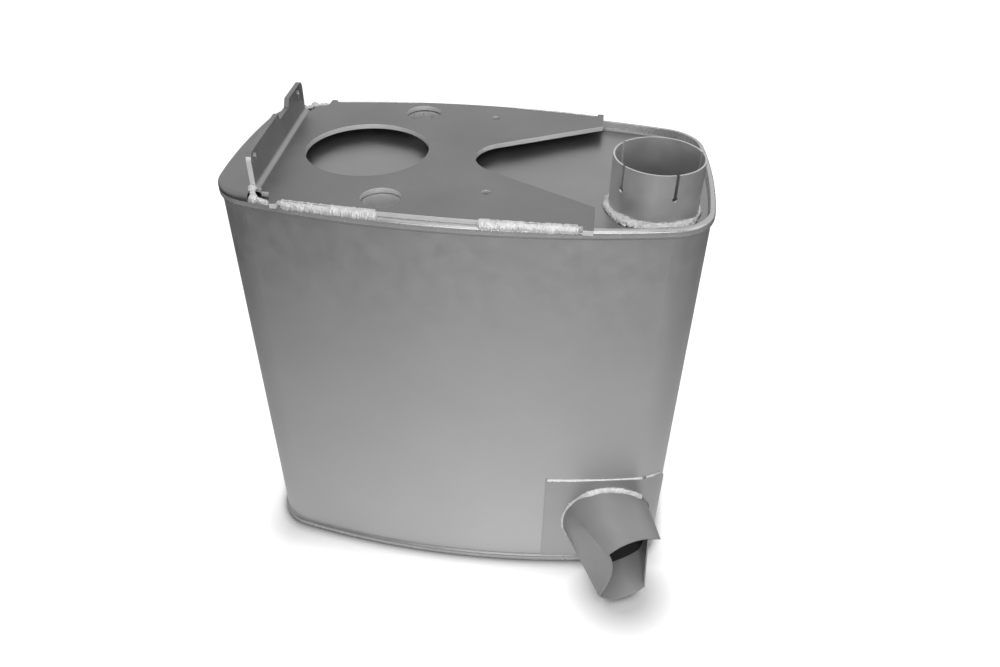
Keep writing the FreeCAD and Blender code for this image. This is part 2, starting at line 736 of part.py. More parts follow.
def liner():
    wall = outline_ring(LINER_OUT, LINER_IN, CAP_RECESS + SHEET, UPPER_BAFFLE_Z)
    return wall.cut(tail_bore(TAIL_RADIUS + FIT_GAP, -TAIL_TUCK, TAIL_TUCK))


def baffle(inset, z):
    plate = outline_prism(inset, z, z + BAFFLE)
    plate = plate.cut(upright(CORE_RADIUS + FIT_GAP, INLET, z, z + BAFFLE))
    for hole in BAFFLE_HOLES:
        plate = plate.cut(upright(BAFFLE_HOLE_RADIUS, hole, z, z + BAFFLE))
    return plate


def core_tube():
    """Perforated tube that carries on from the inlet pipe down through both baffles."""
    core = tube(CORE_RADIUS, INLET_WALL, INLET, CORE_BOTTOM, CAP_TOP - SHEET - SEAM_GAP)
    step = 180.0 / CORE_PORT_PAIRS
    for row in range(CORE_PORT_ROWS):
        height = LOWER_BAFFLE_Z + CORE_PORT_PITCH * (row + 1)
        stagger = step / 2 * (row % 2)
        for k in range(CORE_PORT_PAIRS):
            angle = math.radians(step * k + stagger)
            way = V(math.cos(angle), math.sin(angle), 0)
            start = V(INLET.x, INLET.y, height) - way * CORE_RADIUS
            core = core.cut(Part.makeCylinder(CORE_PORT_RADIUS, 2 * CORE_RADIUS, start, way))
    return core


def save(shape, name):
    solids = shape.Solids
    body = solids[0] if len(solids) == 1 else Part.makeCompound(solids)
    body.exportStep("parts/" + name + ".step")


cap = top_cap()
plate = mounting_plate()
cover = left_cover(cap)

save(wrap(), "shell_wrap")
save(seam_weld(), "wrap_seam_weld")
save(cap, "top_cap")
save(rolled_cap(0, -1), "bottom_cap")
save(plate, "mounting_plate")
save(cover, "left_end_cover")
for label, edge in (("front", front_edge()), ("rear", rear_edge())):
    left = edge[0].x + LEFT_WELD_MARGIN
    right = edge[2].x - RIGHT_WELD_MARGIN
    left_bead = plate_weld(edge, left, left + LEFT_WELD_LENGTH)
    right_bead = plate_weld(edge, right - RIGHT_WELD_LENGTH, right)
    save(clear_of(left_bead, [plate]), "plate_weld_" + label + "_left")
    save(clear_of(right_bead, [plate]), "plate_weld_" + label + "_right")
save(foot_weld(0, FRONT_LUMP, FRONT_RUN_END, [plate, cover]), "flange_weld_front")
save(foot_weld(FLANGE_LENGTH, REAR_LUMP, REAR_RUN_END, [plate, cover]), "flange_weld_rear")
save(inlet_pipe(), "inlet_pipe")
save(inlet_weld(), "inlet_weld")
save(sleeve(BOSS_HOLES[0]), "sleeve_front")
save(sleeve(BOSS_HOLES[1]), "sleeve_rear")
save(outlet_patch(), "outlet_patch")
save(patch_weld(), "outlet_patch_weld")
save(tail_pipe(), "tail_pipe")
save(tail_weld(), "tail_pipe_weld")
save(blanket(), "insulation_blanket")
save(liner(), "inner_liner")
save(baffle(WRAP_IN + SEAM_GAP, UPPER_BAFFLE_Z), "upper_baffle")
save(baffle(LINER_IN + SEAM_GAP, LOWER_BAFFLE_Z), "lower_baffle")
save(core_tube(), "core_tube")
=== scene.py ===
import math
import random

import bmesh
import bpy
import numpy as np
from mathutils import Matrix, Vector, noise
from mathutils.bvhtree import BVHTree


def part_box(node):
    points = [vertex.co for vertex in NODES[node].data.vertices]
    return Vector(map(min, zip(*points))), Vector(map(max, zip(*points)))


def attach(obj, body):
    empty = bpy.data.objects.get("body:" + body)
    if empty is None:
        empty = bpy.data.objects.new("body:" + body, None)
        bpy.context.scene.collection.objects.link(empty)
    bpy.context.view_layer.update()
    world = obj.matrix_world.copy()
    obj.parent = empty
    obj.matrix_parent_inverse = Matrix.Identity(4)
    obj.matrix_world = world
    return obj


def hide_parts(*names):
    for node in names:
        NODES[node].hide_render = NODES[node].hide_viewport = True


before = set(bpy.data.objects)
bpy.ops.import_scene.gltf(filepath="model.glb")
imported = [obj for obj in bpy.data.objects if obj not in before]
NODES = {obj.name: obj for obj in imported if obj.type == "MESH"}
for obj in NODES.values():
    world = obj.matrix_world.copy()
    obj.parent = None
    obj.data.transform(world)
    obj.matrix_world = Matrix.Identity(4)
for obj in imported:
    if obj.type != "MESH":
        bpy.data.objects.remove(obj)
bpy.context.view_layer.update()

UP = Vector((0, 0, 1))
MM = 0.001

# Camera, fitted to the photograph: place, its three directions, focal length and sensor width in
# millimetres, and how far it sees.
CAMERA_AT = Vector((0.1386, -0.9029, 0.9804))
CAMERA_RIGHT = Vector((0.99247, 0.12177, 0.01350))
CAMERA_UP = Vector((-0.08418, 0.59774, 0.79727))
CAMERA_FORWARD = Vector((-0.08902, 0.79240, -0.60348))
CAMERA_LENS = 29.13
CAMERA_SENSOR = 36.0
CAMERA_REACH = 50.0

# Tail pipe: where its axis leaves the corner, the axis, its outer radius and wall, how far it goes into
# the body, and how far either side of the corner its round root blends into the pinch.
TAIL_ROOT = Vector((0.2088, -0.1404, 0.0877))
TAIL_TURN = math.radians(23.4)
TAIL_DROP = math.radians(15.8)
TAIL_FLAT = math.cos(TAIL_DROP)
TAIL_AXIS = Vector((
    TAIL_FLAT * math.sin(TAIL_TURN),
    -TAIL_FLAT * math.cos(TAIL_TURN),
    -math.sin(TAIL_DROP),
))
TAIL_RADIUS = 61.7 * MM
TAIL_WALL = 2.0 * MM
TAIL_TUCK = 50.0 * MM
TAIL_BLEND = 16.0 * MM

# Bearings of its creases at the root, in degrees.
TAIL_ROOT_CREASES = [58.0, 122.0, 238.0, 290.0, 302.0]

# Its end face: distance along the axis, bearing, corners, middles of the arcs between, which are dented.
TAIL_END_AT = 75.8 * MM
TAIL_END_TURN = math.radians(26.0)
TAIL_END_CORNERS = [(-0.535, 0.765), (-0.612, -0.629), (0.559, -0.818), (0.430, 0.867), (0.729, 0.778)]
TAIL_END_MIDDLES = [(-0.386, 0.110), (-0.016, -1.004), (0.486, 0.065), (0.583, 0.834), (0.130, 0.994)]
TAIL_END_DENTED = [True, False, True, True, False]

# Its mesh: points on each arc, rows round the blend, rows to the mouth, how many of these are free of
# the painted shade inside, and the angle from which an edge stays sharp.
TAIL_STEPS = 22
TAIL_BENDS = 10
TAIL_ROWS = 16
TAIL_UNSHADED_ROWS = 11
TAIL_SHARP = math.radians(24)

# Rounding of the outlet patch's upper rear corner.
PATCH_CORNER = 44.0 * MM

# Height of the body, and how far from its middle the rolled rims begin.
BODY_HEIGHT = 554.0 * MM
RIM_RISE = 9.0 * MM
RIM_FROM = BODY_HEIGHT / 2 - RIM_RISE

# Body outline seen from above, where long sides, ends and corners are arcs: sizes, distance between
# points, and the number of points round a hole.
HALF_LENGTH = 289.0 * MM
HALF_DEPTH = 162.0 * MM
LONG_SIDE_BULGE = 37.3 * MM
END_BULGE = 16.0 * MM
CORNER_RADIUS = 58.0 * MM
OUTLINE_STEP = 2.6 * MM
HOLE_STEPS = 96

# Rolled rim and recessed panel of the caps: insets from the outline, depths from the rim's outer face, and
# the angle from which an edge stays sharp.
PANEL_DEPTH = 12.0 * MM
PANEL_SHEET = 1.5 * MM
PANEL_FILLET = 4.0 * MM
RIM_INNER = 6.55 * MM
RIM_DEPTH = 13.0 * MM
RIM_INNER_EDGE = 0.8 * MM
SLOT_OUT = 2.95 * MM
SLOT_IN = 4.55 * MM
SLOT_DEPTH = 1.95 * MM
CAP_SHARP = math.radians(40)

# Rounding of the rolled rim's outer edge, and how far up it the plate welds come down to.
RIM_EDGE = 4.5 * MM
WELD_FOOT = math.radians(16)

# Welds: distance between rows, faces across, from one ripple to the next, how far the back is sunk, how
# far a blunt end reaches, as a share of the width, and where the points of the back lie across it.
WELD_STEP = 0.42 * MM
WELD_ACROSS = 20
RIPPLE_PITCH = 3.0 * MM
WELD_SUNK = 0.8 * MM
WELD_END = 0.35
WELD_BACK = (0.8, 0.5, 0.2)

# Rays that look for a surface start this far out from the body, and out along the tail pipe.
RAY_FROM = 0.4
TAIL_RAY_FROM = 0.3

# Plate welds: how far the ends stay inside the CAD bead's, how far they reach onto the plate, below its
# top and out from its edge, their bulge, the depth of the ripples, and the points taken along one.
PLATE_WELD_END = 0.8 * MM
PLATE_WELD_IN = 3.2 * MM
PLATE_WELD_DOWN = 0.5 * MM
PLATE_WELD_OUT = 1.8 * MM
PLATE_WELD_BULGE = 3.3 * MM
PLATE_WELD_RIPPLE = 0.09
PLATE_WELD_POINTS = 60

# Inlet weld: bearing of its heavy front part and how far that reaches, its size there, at the left and at
# the right, its legs up the pipe and out over the cap, its bulge, and the points taken round it.
INLET_WELD_HEAVY_AT = 272.0
INLET_WELD_HEAVY_REACH = 62.0
INLET_WELD_HEAVY = 1.45
INLET_WELD_SIDE = 1.0
INLET_WELD_THIN = 0.5
INLET_WELD_UP = 5.4 * MM
INLET_WELD_OUT = 6.0 * MM
INLET_WELD_BULGE = 1.5 * MM
INLET_WELD_POINTS = 240

# Tail weld: from the left to the right end, in degrees from the top, where it starts to thin down the
# left and over how many degrees, its legs along the pipe and over the patch, its bulge, and the points
# taken along it.
TAIL_WELD_FROM = 118.0
TAIL_WELD_TO = -42.0
TAIL_WELD_THIN_FROM = 30.0
TAIL_WELD_THIN_OVER = 14.0
TAIL_WELD_ALONG = 5.0 * MM
TAIL_WELD_OUT = 4.2 * MM
TAIL_WELD_BULGE = 1.2 * MM
TAIL_WELD_POINTS = 420

# Patch weld: a point inside the body to measure bearings from, the bearings of its two stretches, its
# bulge, and the points taken along a stretch.
PATCH_WELD_MIDDLE = Vector((0.19, -0.06, 0))
PATCH_WELD_STRETCHES = (("top", -127.0, -50.5), ("corner", -47.5, -22.0))
PATCH_WELD_BULGE = 0.45 * MM
PATCH_WELD_POINTS = 200

# Flange welds: places of the blob at the flange's foot and of the one on the rim, the radii of both and
# of what links them, how high the second one lies, how far the run's end stays inside the CAD weld, and
# the size of its mesh.
FOOT_FRONT = (-0.2294, -0.1247)
FOOT_REAR = (-0.2457, 0.1082)
FOOT_RIM_FRONT = (-0.2230, -0.1405)
FOOT_RIM_REAR = (-0.2365, 0.1290)
FOOT_BLOB = 5.0 * MM
FOOT_RIM_BLOB = 5.2 * MM
FOOT_LINK = 3.0 * MM
FOOT_RIM_RISE = 3.5 * MM
FOOT_END = (3.0 * MM, 4.0 * MM, 2.2 * MM)
MELT_VOXEL = 0.55 * MM

# Mounting plate: its thickness with a little to spare, the top of the bend band, the way its flange looks
# in, how much its edges are eased, and the angle from which they are.
PLATE_LEVEL = 6.2 * MM
BEND_TOP = 12.6 * MM
FLANGE_INWARD = Vector((0.9976, 0.0698, 0))
PLATE_EASE = 0.45 * MM
PLATE_SHARP = math.radians(35)

# World: strength as soft light, in metal, and in metal towards the front, and where these two meet.
WORLD_LIGHT = 0.30
WORLD_IN_METAL = 1.0
WORLD_IN_METAL_FRONT = 0.25
WORLD_FRONT = -0.75
WORLD_BACK = -0.20

# Floor: half its side, how far it lies below the object, its tone, its glow for the camera under the
# object and away from it, and where the painted shadow between them lies, made by lowering the glow.
FLOOR_SIZE = 30.0
FLOOR_DROP = 0.2 * MM
FLOOR_TONE = 0.80
FLOOR_NEAR = 0.10
FLOOR_FAR = 0.85
SHADOW_HALF = (0.24, 0.12)
SHADOW_FROM = 0.02
SHADOW_TO = 0.09
TAIL_SHADOW_AT = (0.235, -0.19)
TAIL_SHADOW_RADIUS = 0.015

# Floor in metal: a painted pool of light, bright at one point and fading away from it.
POOL_AT = (0.08, -0.2)
POOL_REACH = 1.22
FLOOR_IN_METAL_NEAR = 1.0
FLOOR_IN_METAL_FAR = 0.06

# The floor darkens within this reach of what touches it as a painted contact shadow: its share of glow
# and its tone there, and the open shares of the sky between which it passes.
CONTACT_REACH = 14.0 * MM
CONTACT_PAINTED_SHADOW_GLOW = 0.12
CONTACT_PAINTED_SHADOW_TONE = 0.20
CONTACT_CLOSED = 0.50
CONTACT_OPEN = 0.88
CONTACT_SAMPLES = 4

# Lamps: name, place, point that it looks at, size, watts.
LAMPS = [
    ("key_over_camera", (0.25, -1.75, 2.35), (0.0, -0.1, 0.3), (1.5, 1.5), 16),
    ("front_low", (0.40, -2.6, 1.05), (0.1, 0, 0.4), (2.4, 1.0), 24),
    ("fill_right", (2.2, -0.6, 1.5), (0, 0, 0.3), (1.8, 1.8), 6),
]


class Tree:
    """Small helper that builds the shader nodes of a material or the world."""

    def __init__(self, owner):
        self.owner = owner
        owner.use_nodes = True
        self.tree = owner.node_tree
        self.tree.nodes.clear()

    def node(self, kind, inputs=None, **settings):
        made = self.tree.nodes.new(kind)
        for key, value in settings.items():
            setattr(made, key, value)
        for key, value in (inputs or {}).items():
            if isinstance(value, bpy.types.NodeSocket):
                self.tree.links.new(value, made.inputs[key])
            else:
                made.inputs[key].default_value = value
        return made

    def math(self, operation, a, b=0.0):
        return self.node("ShaderNodeMath", {0: a, 1: b}, operation=operation).outputs[0]

    def place(self):
        """Position in the part's own frame, in metres."""
        return self.node("ShaderNodeTexCoord").outputs["Object"]

    def scaled(self, vector, scale):
        return self.node("ShaderNodeVectorMath", {0: vector, 1: scale}, operation="MULTIPLY").outputs[0]

    def noise(self, vector, scale, detail=3.0, roughness=0.55):
        inputs = {"Vector": vector, "Scale": scale, "Detail": detail, "Roughness": roughness}
        return self.node("ShaderNodeTexNoise", inputs).outputs["Fac"]

    def remap(self, value, low, high, to_low=0.0, to_high=1.0):
        inputs = {"Value": value, "From Min": low, "From Max": high, "To Min": to_low, "To Max": to_high}
        return self.node("ShaderNodeMapRange", inputs).outputs["Result"]

    def mix(self, factor, a, b):
        made = self.node("ShaderNodeMix", {"Factor": factor}, data_type="RGBA")
        for socket, value in ((made.inputs[6], a), (made.inputs[7], b)):
            if isinstance(value, bpy.types.NodeSocket):
                self.tree.links.new(value, socket)
            else:
                socket.default_value = value
        return made.outputs[2]

    def distance(self, x, y, centre=(0.0, 0.0)):
        """Flat distance from a centre."""
        off_x = self.math("SUBTRACT", x, centre[0])
        off_y = self.math("SUBTRACT", y, centre[1])
        squares = self.math("ADD", self.math("MULTIPLY", off_x, off_x), self.math("MULTIPLY", off_y, off_y))
        return self.math("SQRT", squares)

    def finish(self, shader, output="ShaderNodeOutputMaterial"):
        self.tree.links.new(shader, self.node(output).inputs["Surface"])
        return self.owner


def grey(value, warmth=0.0):
    return (value * (1 + warmth), value, value * (1 - warmth), 1.0)


def metal(name, tone, spread, rough, rough_spread, grain, bump, metallic=0.9, marks=0.0, rim=None):
    """Dull metal: cloudy tone, fine grain, rubbed marks, and a rim's own roughness and metallic under a
    lighter rim tone that is painted light.
    """
    t = Tree(bpy.data.materials.new(name))
    place = t.place()
    clouds = t.noise(place, 9.0, 4.0)
    blotches = t.noise(place, 46.0, 5.0, 0.6)
    fine = t.noise(t.scaled(place, grain), 1.0, 3.0, 0.6)
    cover = t.math("ADD", t.math("MULTIPLY", clouds, 0.55), t.math("MULTIPLY", blotches, 0.45))
    tone_factor = t.remap(cover, 0.33, 0.67)
    colour = t.mix(tone_factor, grey(tone - spread), grey(tone + spread))
    speckle = t.remap(fine, 0.3, 0.7)
    colour = t.mix(t.math("MULTIPLY", speckle, 0.22), colour, grey(tone - 2 * spread))
    if marks:
        scratch = t.noise(t.scaled(place, (900.0, 900.0, 14.0)), 1.0, 2.0)
        line = t.remap(scratch, 0.70, 0.76)
        patch = t.remap(t.noise(place, 14.0, 2.0), 0.52, 0.62)
        rubbed = t.math("MULTIPLY", t.math("MULTIPLY", line, patch), marks)
        colour = t.mix(rubbed, colour, grey(tone + 3 * spread))
    roughness = t.remap(blotches, 0.3, 0.7, rough - rough_spread, rough + rough_spread)
    # On the rolled rim rim[0] replaces the tone with a lighter one that paints the light the rim catches;
    # rim[1] and rim[2] are its own roughness and metallic.
    if rim:
        z = t.node("ShaderNodeSeparateXYZ", {0: place}).outputs[2]
        off_middle = t.math("ABSOLUTE", t.math("SUBTRACT", z, BODY_HEIGHT / 2))
        on_rim = t.remap(off_middle, RIM_FROM - 0.4 * MM, RIM_FROM + 0.4 * MM)
        colour = t.mix(on_rim, colour, t.mix(tone_factor, grey(rim[0] - 0.04), grey(rim[0] + 0.04)))
        roughness = t.math("ADD", roughness, t.math("MULTIPLY", on_rim, rim[1] - rough))
        metallic = t.remap(on_rim, 0.0, 1.0, metallic, rim[2])
    height = t.math("ADD", t.math("MULTIPLY", fine, 0.7), t.math("MULTIPLY", blotches, 0.5))
    bumped = t.node("ShaderNodeBump", {"Strength": bump, "Distance": 0.0002, "Height": height})
    shader = t.node(
        "ShaderNodeBsdfPrincipled",
        {
            "Base Color": colour,
            "Roughness": roughness,
            "Metallic": metallic,
            "Normal": bumped.outputs["Normal"],
        },
    )
    return t.finish(shader.outputs["BSDF"])


# Name, tone and its spread, roughness and its spread, grains per metre along each axis, bump strength.
PATCH_SHEET = metal("patch_sheet", 0.43, 0.020, 0.46, 0.05, (700.0, 700.0, 260.0), 0.10)
COATED = metal("coated_sheet", 0.53, 0.020, 0.46, 0.05, (700.0, 700.0, 260.0), 0.10, marks=0.25)
# The rim's tone 0.50, lighter than the panel's 0.29, is painted light; its roughness and metallic are its
# own.
PRESSED = metal("pressed_sheet", 0.29, 0.025, 0.34, 0.05, (520.0, 900.0, 520.0), 0.10, metallic=0.8,
                rim=(0.50, 0.26, 0.55))
COVER = metal("cover_sheet", 0.21, 0.020, 0.42, 0.05, (520.0, 900.0, 520.0), 0.10)
PLATE = metal("plate_steel", 0.23, 0.030, 0.50, 0.06, (260.0, 900.0, 900.0), 0.16, marks=0.15)
CUT_EDGE = metal("plate_cut_edge", 0.72, 0.06, 0.40, 0.06, (420.0, 420.0, 60.0), 0.35, metallic=0.3)
# The bend strip and the upright flange are the plate's own steel in lighter tones: a painted highlight along
# the bend and painted light on the upright's face.
PAINTED_BEND_HIGHLIGHT = metal("plate_bend_painted_highlight", 0.33, 0.02, 0.45, 0.04, (260.0, 900.0, 900.0), 0.12)
PAINTED_LIT_UPRIGHT = metal("plate_upright_painted_light", 0.31, 0.05, 0.46, 0.05, (900.0, 900.0, 260.0), 0.12, metallic=0.8)
PIPE = metal("pipe_steel", 0.62, 0.06, 0.36, 0.06, (900.0, 900.0, 30.0), 0.22, metallic=0.70, marks=0.3)
TAIL = metal("tail_steel", 0.32, 0.030, 0.48, 0.05, (500.0, 500.0, 500.0), 0.10, metallic=0.7)
# Inside of the tail pipe: the same steel as outside, its lighter tone painted light where light reaches in.
TAIL_INSIDE_PAINTED_LIGHT = metal("tail_inside_painted_light", 0.46, 0.04, 0.42, 0.05, (500.0, 500.0, 500.0), 0.10, metallic=0.35)
# Near-black painted shade deep inside the tail pipe.
PAINTED_DEEP_SHADE = metal("tail_painted_deep_shade", 0.035, 0.010, 0.85, 0.05, (500.0, 500.0, 500.0), 0.10, metallic=0.0)
SLEEVE = metal("sleeve_steel", 0.80, 0.05, 0.30, 0.06, (60.0, 60.0, 1400.0), 0.25, metallic=0.3)
INNER = metal("inner_steel", 0.22, 0.03, 0.55, 0.05, (400.0, 400.0, 400.0), 0.12)

# Rolled faces, cut edges, bend and upright flange of the mounting plate; the bend and the upright are the
# rolled steel in lighter tones, painted light.
PLATE_PARTS = (PLATE, CUT_EDGE, PAINTED_BEND_HIGHLIGHT, PAINTED_LIT_UPRIGHT)


def weld_material():
    """Bright weld metal with dark scale specks scattered over it."""
    t = Tree(bpy.data.materials.new("weld_metal"))
    place = t.place()
    clouds = t.noise(place, 60.0, 4.0)
    specks = t.noise(place, 620.0, 3.0, 0.6)
    colour = t.mix(t.remap(clouds, 0.35, 0.65), grey(0.62), grey(0.80))
    colour = t.mix(t.remap(specks, 0.60, 0.76), colour, grey(0.28))
    roughness = t.remap(clouds, 0.3, 0.7, 0.42, 0.58)
    bumped = t.node("ShaderNodeBump", {"Strength": 0.35, "Distance": 0.0004, "Height": specks})
    shader = t.node(
        "ShaderNodeBsdfPrincipled",
        {
            "Base Color": colour,
            "Roughness": roughness,
            "Metallic": 0.55,
            "Normal": bumped.outputs["Normal"],
        },
    )
    return t.finish(shader.outputs["BSDF"])


def wool_material():
    """Pressed fibre mat."""
    t = Tree(bpy.data.materials.new("mineral_wool"))
    place = t.place()
    fibres = t.noise(t.scaled(place, (900.0, 900.0, 120.0)), 1.0, 4.0, 0.7)
    tufts = t.noise(place, 120.0, 4.0)
    colour = t.mix(t.remap(tufts, 0.35, 0.65), grey(0.42, 0.05), grey(0.62, 0.05))
    colour = t.mix(t.remap(fibres, 0.45, 0.7), colour, grey(0.75, 0.04))
    bumped = t.node("ShaderNodeBump", {"Strength": 0.8, "Distance": 0.001, "Height": fibres})
    inputs = {"Base Color": colour, "Roughness": 0.95, "Normal": bumped.outputs["Normal"]}
    shader = t.node("ShaderNodeBsdfPrincipled", inputs)
    return t.finish(shader.outputs["BSDF"])


WELD = weld_material()
WOOL = wool_material()

NODE_MATERIALS = {
    "shell_wrap": COATED,
    "wrap_seam_weld": WELD,
    "top_cap": PRESSED,
    "bottom_cap": PRESSED,
    "mounting_plate": PLATE,
    "left_end_cover": COVER,
    "plate_weld_front_left": WELD,
    "plate_weld_front_right": WELD,
    "plate_weld_rear_left": WELD,
    "plate_weld_rear_right": WELD,
    "flange_weld_front": WELD,
    "flange_weld_rear": WELD,
    "inlet_pipe": PIPE,
    "inlet_weld": WELD,
    "sleeve_front": SLEEVE,
    "sleeve_rear": SLEEVE,
    "outlet_patch": PATCH_SHEET,
    "outlet_patch_weld": WELD,
    "tail_pipe": TAIL,
    "tail_pipe_weld": WELD,
    "insulation_blanket": WOOL,
    "inner_liner": INNER,
    "upper_baffle": INNER,
    "lower_baffle": INNER,
    "core_tube": INNER,
}


def dress_nodes():
    """Give every CAD node its material."""
    for name, material in NODE_MATERIALS.items():
        slots = NODES[name].data.materials
        slots.clear()
        slots.append(material)


def surface(node):
    """Search tree of a CAD node's surface."""
    mesh = NODES[node].data
    corners = [v.co.copy() for v in mesh.vertices]
    faces = [tuple(p.vertices) for p in mesh.polygons]
    return BVHTree.FromPolygons(corners, faces)


def add_mesh(name, vertices, faces, material):
    """A smooth mesh of the part's own body."""
    mesh = bpy.data.meshes.new(name)
    mesh.from_pydata([tuple(v) for v in vertices], [], faces)
    mesh.materials.append(material)
    mesh.update()
    mesh.shade_smooth()
    made = bpy.data.objects.new(name, mesh)
    bpy.context.scene.collection.objects.link(made)
    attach(made, "root")
    return made


def spaced(points, count, closed=False):
    """count points spaced evenly along a broken line."""
    points = [Vector(p) for p in points]
    if closed:
        points = points + [points[0]]
    lengths = [0.0]
    for a, b in zip(points, points[1:]):
        lengths.append(lengths[-1] + (b - a).length)
    out = []
    at = 0
    for k in range(count):
        goal = lengths[-1] * k / (count if closed else count - 1)
        while at < len(lengths) - 2 and lengths[at + 1] < goal:
            at += 1
        share = (goal - lengths[at]) / max(lengths[at + 1] - lengths[at], 1e-9)
        out.append(points[at].lerp(points[at + 1], min(max(share, 0.0), 1.0)))
    return out


def lumps(place, size):
    """Smooth noise about zero whose lumps are about size across."""
    return noise.noise(place / size)


def weld_band(name, replaced, upper, lower, hint, bulge, seed, ripple=0.16, rough=0.30 * MM, closed=False):
    """Solid weld between two lines of points, bulged towards hint, with ripples, lumps and blunt ends."""
    chance = random.Random(seed)
    offset = Vector([chance.uniform(0, 50) * MM for _ in range(3)])
    count = len(upper)
    middles = [(a + b) / 2 for a, b in zip(upper, lower)]
    runs = [0.0]
    for a, b in zip(middles, middles[1:]):
        runs.append(runs[-1] + (b - a).length)
    starts = [0.0]
    depths = [1.0]
    while starts[-1] < runs[-1] + 8 * RIPPLE_PITCH:
        starts.append(starts[-1] + RIPPLE_PITCH * chance.uniform(0.7, 1.35))
        depths.append(chance.uniform(0.45, 1.3))
    starts = np.array(starts)
    vertices = []
    for k in range(count):
        ahead = middles[(k + 1) % count] if closed else middles[min(k + 1, count - 1)]
        behind = middles[k - 1] if closed else middles[max(k - 1, 0)]
        along = (ahead - behind).normalized()
        a, b = upper[k], lower[k]
        over = b - a
        wide = over.length
        out = along.cross(over).normalized()
        if out.dot(hint(middles[k])) < 0:
            out = -out
        end = 1.0
        if not closed:
            reach = min(runs[k], runs[-1] - runs[k]) / (WELD_END * wide)
            end = math.sqrt(max(0.03, 1 - (1 - min(reach, 1.0)) ** 2))

        # Uneven edges and swell: shares of the width, with the size of their lumps.
        centre = middles[k] + offset
        top_edge = 0.07 * wide * lumps(centre, 3.1 * MM)
        low_edge = 0.16 * wide * lumps(centre + offset, 2.2 * MM) + 0.10 * wide * lumps(centre, 7.0 * MM)
        swell = 1 + 0.35 * lumps(centre - offset, 9.0 * MM)
        for j in range(WELD_ACROSS + 1):
            share = j / WELD_ACROSS
            arch = math.sin(math.pi * share) ** 0.5
            spot = middles[k] + over * (share - 0.5) * end
            spot = spot - over.normalized() * top_edge * (1 - share) + over.normalized() * low_edge * share

            # Each ripple lags behind in the middle and towards the lower edge.
            lag = runs[k] + 0.25 * wide * (1 - (2 * share - 1) ** 2) + 0.35 * wide * share
            which = min(max(int(np.searchsorted(starts, lag)) - 1, 0), len(starts) - 2)
            phase = (lag - starts[which]) / (starts[which + 1] - starts[which])
            crest = 1 - ripple * depths[which] * (1 - math.sin(math.pi * phase) ** 0.7)
            grain = 0.6 * lumps(spot + offset, 1.7 * MM) + 1.1 * lumps(spot - offset, 3.6 * MM)
            height = bulge * arch * swell * crest * end + rough * grain * min(1.0, 3 * arch) * end
            vertices.append(spot + out * height)
        for share in WELD_BACK:
            vertices.append(middles[k] + over * (share - 0.5) * end - out * WELD_SUNK * end)
    rows = WELD_ACROSS + 1 + len(WELD_BACK)
    faces = []
    for k in range(count if closed else count - 1):
        first = k * rows
        second = ((k + 1) % count) * rows
        for j in range(rows):
            side = (j + 1) % rows
            faces.append((first + j, first + side, second + side, second + j))
    if not closed:
        faces.append(tuple(reversed(range(rows))))
        faces.append(tuple(range((count - 1) * rows, count * rows)))
    made = add_mesh(name, vertices, faces, WELD)
    face_outwards(made)
    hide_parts(replaced)


def face_outwards(made):
    """Turn a closed mesh's faces so that they all look out."""
    work = bmesh.new()
    work.from_mesh(made.data)
    bmesh.ops.recalc_face_normals(work, faces=work.faces)
    work.to_mesh(made.data)
    work.free()


def matched(upper, lower, closed=False):
    """Two lines resampled to the same rows, a weld step apart."""
    length = sum((b - a).length for a, b in zip(upper, upper[1:]))
    if closed:
        length += (upper[0] - upper[-1]).length
    count = max(8, int(length / WELD_STEP))
    return spaced(upper, count, closed), spaced(lower, count, closed)


def plate_welds():
    """Broad bands from the plate's top edge down to the rolled rim."""
    plate = surface("mounting_plate")
    cap = surface("top_cap")
    plate_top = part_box("plate_weld_front_left")[1].z
    cap_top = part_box("top_cap")[1].z
    for label, way in (("front", 1), ("rear", -1)):
        ray = Vector((0, way, 0))
        foot = Vector((0, -way * math.cos(WELD_FOOT), math.sin(WELD_FOOT)))
        for side in ("left", "right"):
            node = "plate_weld_" + label + "_" + side
            low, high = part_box(node)
            upper, lower = [], []
            for x in np.linspace(low.x + PLATE_WELD_END, high.x - PLATE_WELD_END, PLATE_WELD_POINTS):
                edge = plate.ray_cast(Vector((x, -way * RAY_FROM, plate_top - 3.5 * MM)), ray)[0]
                rim = cap.ray_cast(Vector((x, -way * RAY_FROM, cap_top - RIM_EDGE)), ray)[0]
                round_middle = Vector((x, rim.y + way * RIM_EDGE, cap_top - RIM_EDGE))
                shoulder = round_middle + foot * RIM_EDGE
                reach = max(-way * shoulder.y, -way * edge.y + PLATE_WELD_OUT)
                upper.append(Vector((x, edge.y + way * PLATE_WELD_IN, plate_top - PLATE_WELD_DOWN)))
                lower.append(Vector((x, -way * reach, shoulder.z)))
            hint = Vector((0, -way * 0.6, 0.8))
            upper, lower = matched(upper, lower)
            weld_band(node + "_bead", node, upper, lower, lambda p, h=hint: h, PLATE_WELD_BULGE, node,
                      ripple=PLATE_WELD_RIPPLE)


